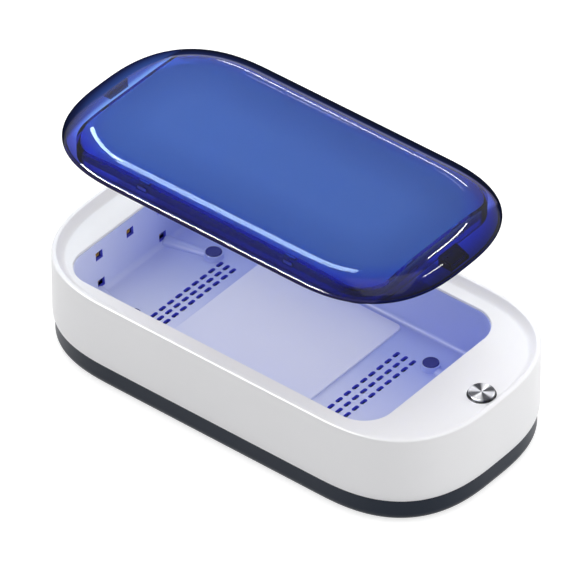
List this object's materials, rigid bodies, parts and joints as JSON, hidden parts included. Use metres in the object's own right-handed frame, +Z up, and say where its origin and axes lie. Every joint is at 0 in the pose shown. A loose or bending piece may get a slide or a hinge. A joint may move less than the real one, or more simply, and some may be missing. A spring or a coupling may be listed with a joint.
{
  "type": "uv sanitizer box for phones",
  "caption": "Low oblong white and slate box with a lavender lamp-lit chamber for a phone, a metal push button and a lift-off blue dome lid.",
  "frame": {"origin": "centre of the housing's outline, on the surface that the feet stand on", "axes": "+X along the box to the button end, -Y to the front, +Z up"},
  "size_m": [0.226, 0.116, 0.1165],
  "materials": {
    "white_plastic": "satin",
    "slate_plastic": "satin",
    "rubber": "matte",
    "steel": "brushed",
    "lavender_plastic": "satin",
    "pale_plastic": "satin",
    "copper": "satin",
    "ferrite": "matte",
    "board": "satin",
    "lamp_ceramic": "satin",
    "dark_plastic": "satin",
    "pale_nylon": "matte",
    "magnet": "satin",
    "blue_clear_plastic": "glossy",
    "violet_plastic": "satin"
  },
  "bodies": {
    "box": {"housing": "white_plastic", "tray": "slate_plastic", "rubber_feet": "rubber", "case_screws": "steel", "chamber_tub": "lavender_plastic", "tub_screws": "steel", "post_pads": "rubber", "charging_plate": "pale_plastic", "charging_coil": "copper", "ferrite_sheet": "ferrite", "lamp_board_left": "board", "lamp_board_right": "board", "lamps_left": "lamp_ceramic", "lamps_right": "lamp_ceramic", "lamp_board_screws": "steel", "button_ring": "dark_plastic", "push_switch": "dark_plastic", "button_board": "board", "button_board_screws": "steel", "lid_sensor": "dark_plastic", "main_board": "board", "main_board_screws": "steel", "charging_inlet": "steel", "power_inductor": "ferrite", "control_chips": "dark_plastic", "ribbon_plugs": "pale_nylon", "ribbon_left": "pale_nylon", "ribbon_right": "pale_nylon", "ribbon_button": "pale_nylon", "housing_magnet_left": "magnet", "housing_magnet_right": "magnet"},
    "lid": {"lid_shell": "blue_clear_plastic", "lid_lining": "violet_plastic", "lid_magnet_left": "magnet", "lid_magnet_right": "magnet"},
    "button": {"button_cap": "steel", "button_carrier": "white_plastic", "switch_stem": "dark_plastic"}
  },
  "joints": [
    {"name": "lid_lift", "type": "slide", "parent": "box", "child": "lid", "axis": [0, 0, 1], "range_m": [-0.0653, 0]},
    {"name": "button_press", "type": "slide", "parent": "box", "child": "button", "axis": [0, 0, 1], "range_m": [-0.0006, 0], "stiffness_N_per_m": 3300}
  ]
}
